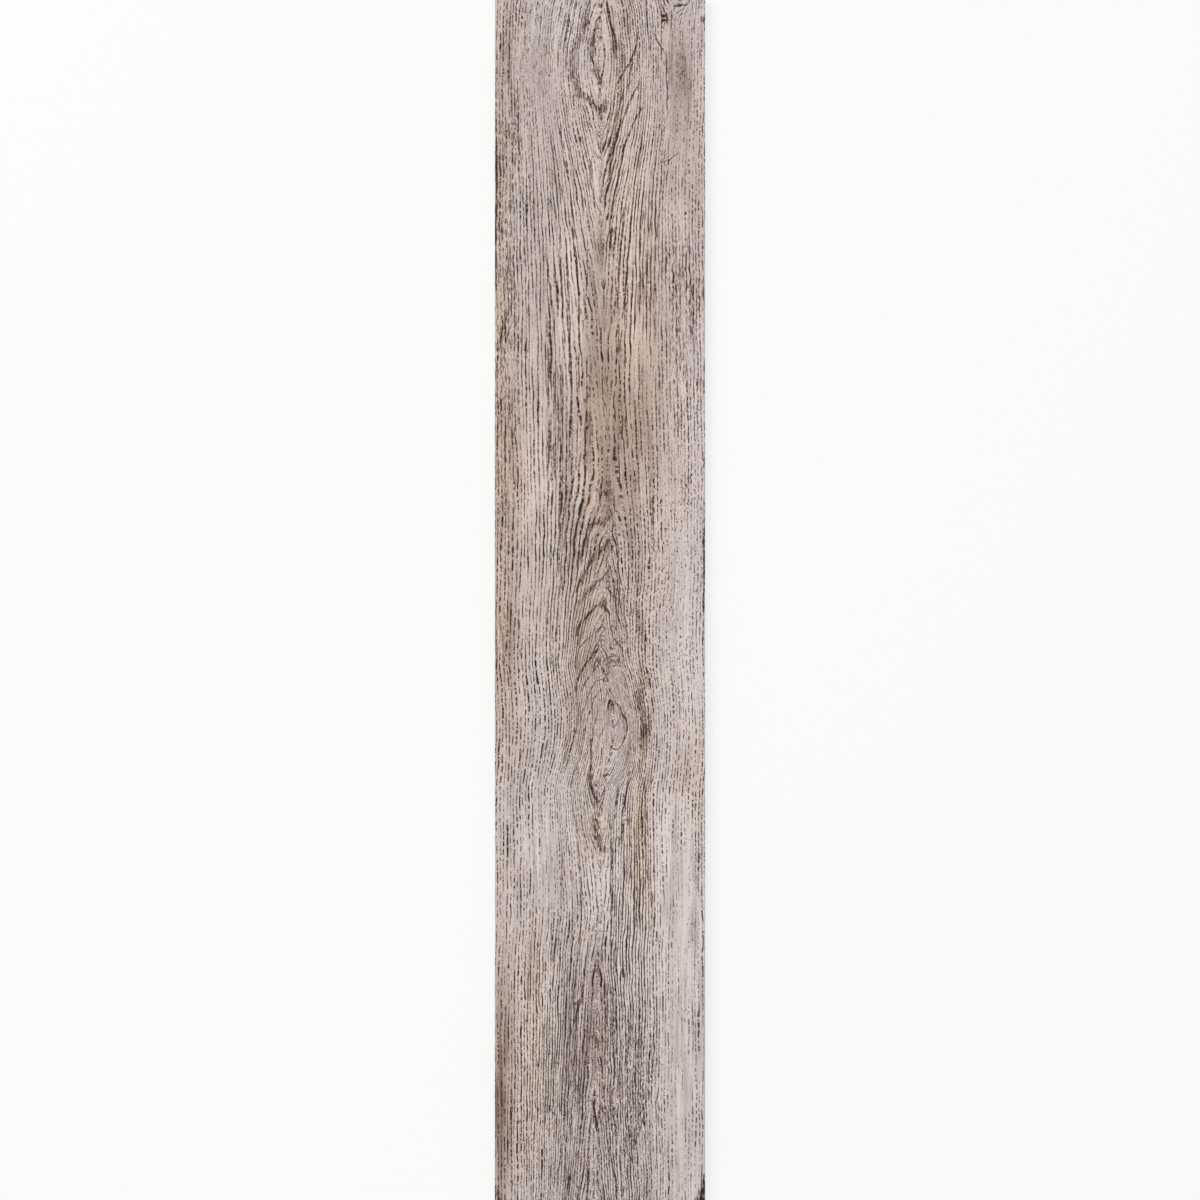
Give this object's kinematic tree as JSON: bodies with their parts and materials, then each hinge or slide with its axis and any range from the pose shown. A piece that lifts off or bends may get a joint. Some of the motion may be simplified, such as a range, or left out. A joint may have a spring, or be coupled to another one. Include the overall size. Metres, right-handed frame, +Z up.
{
  "type": "wood look porcelain plank tile",
  "caption": "Long rectangular porcelain floor tile with a weathered whitewashed oak grain face, fine bevelled edges and a shallow ribbed back for bonding.",
  "frame": {"origin": "middle of the back, on the plane of the raised ribs that the tile lies on", "axes": "+Z up out of the printed face, Y along the plank, X across it"},
  "size_m": [0.175, 1, 0.0095],
  "materials": {
    "porcelain": "matt glazed face with a weathered wood grain print and fine grain relief, bare fired body on the edges and back"
  },
  "bodies": {
    "root": {"plank_tile": "porcelain"}
  },
  "joints": []
}
